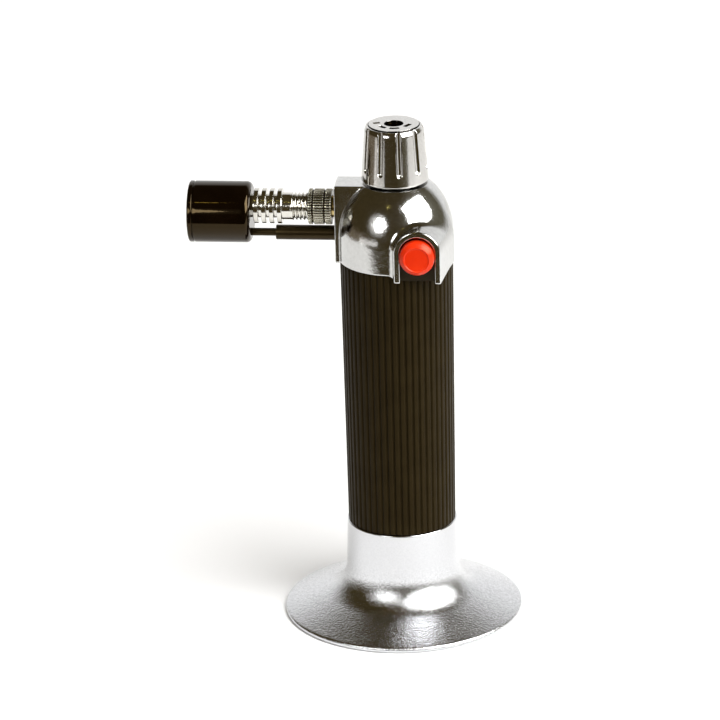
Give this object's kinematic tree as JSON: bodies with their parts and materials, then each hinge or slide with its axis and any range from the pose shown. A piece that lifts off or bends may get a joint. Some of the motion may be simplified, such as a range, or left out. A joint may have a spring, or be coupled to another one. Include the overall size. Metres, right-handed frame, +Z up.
{
  "type": "butane torch",
  "caption": "Hand-held butane torch on a flared round stand: ribbed grip, domed head with side burner, fluted gas knob and push-button igniter.",
  "frame": {"origin": "centre of the ring that the stand rests on, on the axis of the grip", "axes": "+Z up along the grip, -X the way the flame leaves the burner, -Y towards the igniter button"},
  "size_m": [0.0959, 0.071, 0.1523],
  "materials": {
    "satin_chrome": "satin chrome plate with a fine pebbled grain on the flare",
    "polished_chrome": "bright chrome plate",
    "nickel_plate": "machined and nickel plated",
    "brass": "machined",
    "spring_steel": "drawn wire",
    "black_grip": "satin moulded, ribbed",
    "black_plastic": "moulded",
    "black_insulator": "satin tube",
    "black_enamel": "gloss black heat-proof enamel",
    "orange_plastic": "glossy moulded",
    "tank_plastic": "moulded nylon",
    "white_plastic": "moulded",
    "seal_rubber": "nitrile",
    "lead_rubber": "silicone covered lead",
    "piezo_ceramic": "sintered"
  },
  "bodies": {
    "torch": {"base_stand": "satin_chrome", "grip_sleeve": "black_grip", "fuel_tank": "tank_plastic", "tank_bottom_cap": "tank_plastic", "tank_seal": "seal_rubber", "fill_valve_body": "brass", "fill_valve_spring": "spring_steel", "fill_valve_seal": "seal_rubber", "dip_tube": "white_plastic", "gas_filter": "white_plastic", "valve_body": "brass", "valve_body_seal": "seal_rubber", "head_washer": "spring_steel", "gland_nut": "brass", "head_housing": "polished_chrome", "button_guide": "black_plastic", "piezo_case": "black_plastic", "piezo_spring": "spring_steel", "piezo_crystal": "piezo_ceramic", "ignition_lead": "lead_rubber", "electrode_sleeve": "black_insulator", "electrode_insulator": "black_insulator", "electrode_wire": "spring_steel", "jet_holder": "brass", "gas_jet": "brass", "burner_tube": "nickel_plate", "flame_holder": "brass", "flame_guard": "black_enamel"},
    "knob": {"gas_knob": "polished_chrome", "valve_spindle": "brass", "spindle_seal": "seal_rubber"},
    "needle": {"valve_needle": "brass"},
    "button": {"igniter_button": "orange_plastic", "piezo_plunger": "white_plastic"},
    "air_ring_carriage": {"air_ring_seal": "seal_rubber"},
    "air_ring": {"air_ring": "nickel_plate"},
    "fill_stem": {"fill_valve_stem": "brass"}
  },
  "joints": [
    {"name": "knob_turn", "type": "hinge", "parent": "torch", "child": "knob", "pos_m": [0, 0, 0.14], "axis": [0, 0, 1], "range_deg": [0, 270]},
    {"name": "needle_lift", "type": "slide", "parent": "torch", "child": "needle", "axis": [0, 0, 1], "range_m": [0, 0.0006]},
    {"name": "button_press", "type": "slide", "parent": "torch", "child": "button", "axis": [0, 1, 0], "range_m": [0, 0.004], "stiffness_N_per_m": 600, "springref_m": -0.002, "deforming": ["piezo_spring"]},
    {"name": "air_ring_travel", "type": "slide", "parent": "torch", "child": "air_ring_carriage", "axis": [-1, 0, 0], "range_m": [0, 0.0011]},
    {"name": "air_ring_turn", "type": "hinge", "parent": "air_ring_carriage", "child": "air_ring", "pos_m": [-0.0225, 0, 0.1266], "axis": [-1, 0, 0], "range_deg": [0, 361]},
    {"name": "fill_stem_lift", "type": "slide", "parent": "torch", "child": "fill_stem", "axis": [0, 0, 1], "range_m": [0, 0.0015], "stiffness_N_per_m": 800, "springref_m": -0.001, "deforming": ["fill_valve_spring"]}
  ],
  "couplings": [
    {"joint": "needle_lift", "follows": "knob_turn", "m_per_rad": 0.0001272},
    {"joint": "air_ring_turn", "follows": "air_ring_travel", "rad_per_m": 5712}
  ]
}
